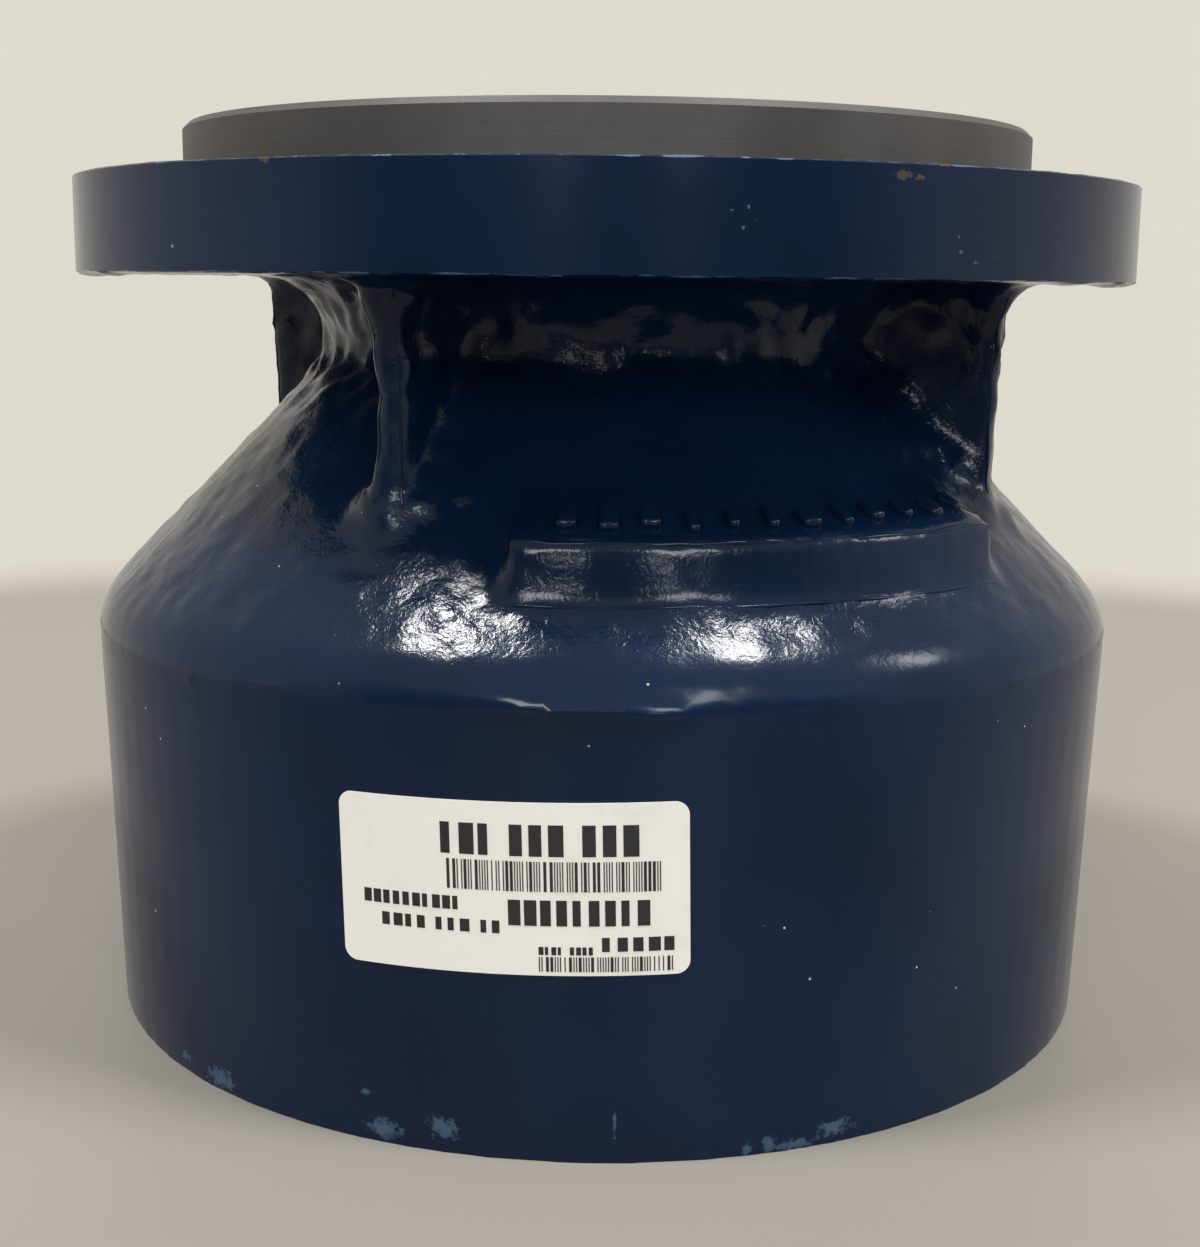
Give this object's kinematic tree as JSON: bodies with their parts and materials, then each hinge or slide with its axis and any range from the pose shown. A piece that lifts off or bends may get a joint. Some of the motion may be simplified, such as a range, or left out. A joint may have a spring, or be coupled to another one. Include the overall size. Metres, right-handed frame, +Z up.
{
  "type": "turbine pump bowl",
  "caption": "Cast bowl of a turbine pump: a wide rim and cone with a spigot flange held up on webs, and inside it a hub on curved diffuser vanes with a fluted shaft bearing.",
  "frame": {"origin": "centre of the open rim's face, on the shaft's axis", "axes": "+Z up along the shaft from the rim to the spigot; the label faces -Y"},
  "size_m": [0.182, 0.182, 0.15],
  "materials": {
    "casting": "glossy dark blue epoxy over rough sand-cast iron, machined bare at the spigot and bores",
    "bronze": "turned bronze",
    "lining": "smooth moulded nitrile rubber",
    "paper": "matt off-white label paper with black print"
  },
  "bodies": {
    "root": {"bowl_casting": "casting", "bearing_shell": "bronze", "bearing_lining": "lining", "label": "paper"}
  },
  "joints": []
}
